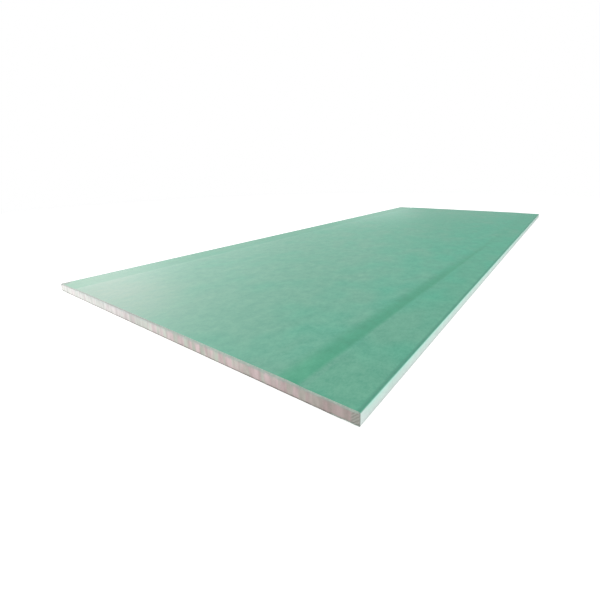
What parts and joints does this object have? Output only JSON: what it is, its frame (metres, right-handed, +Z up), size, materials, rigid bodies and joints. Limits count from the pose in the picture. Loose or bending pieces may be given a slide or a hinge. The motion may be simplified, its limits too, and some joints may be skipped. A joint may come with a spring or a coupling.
{
  "type": "drywall sheet",
  "caption": "Flat moisture-resistant drywall sheet, a gypsum core bonded between green face paper and grey back paper, with tapered long edges and square-cut ends, for lining walls.",
  "frame": {"origin": "centre of the back of the sheet, on the floor that it lies on", "axes": "+X along the length of the sheet, +Y across its width, +Z up out of its face"},
  "size_m": [1.5, 0.6, 0.015],
  "materials": {
    "face_paper": "matte",
    "gypsum_core": "matte",
    "back_paper": "matte"
  },
  "bodies": {
    "root": {"drywall_sheet": "face_paper"}
  },
  "joints": []
}
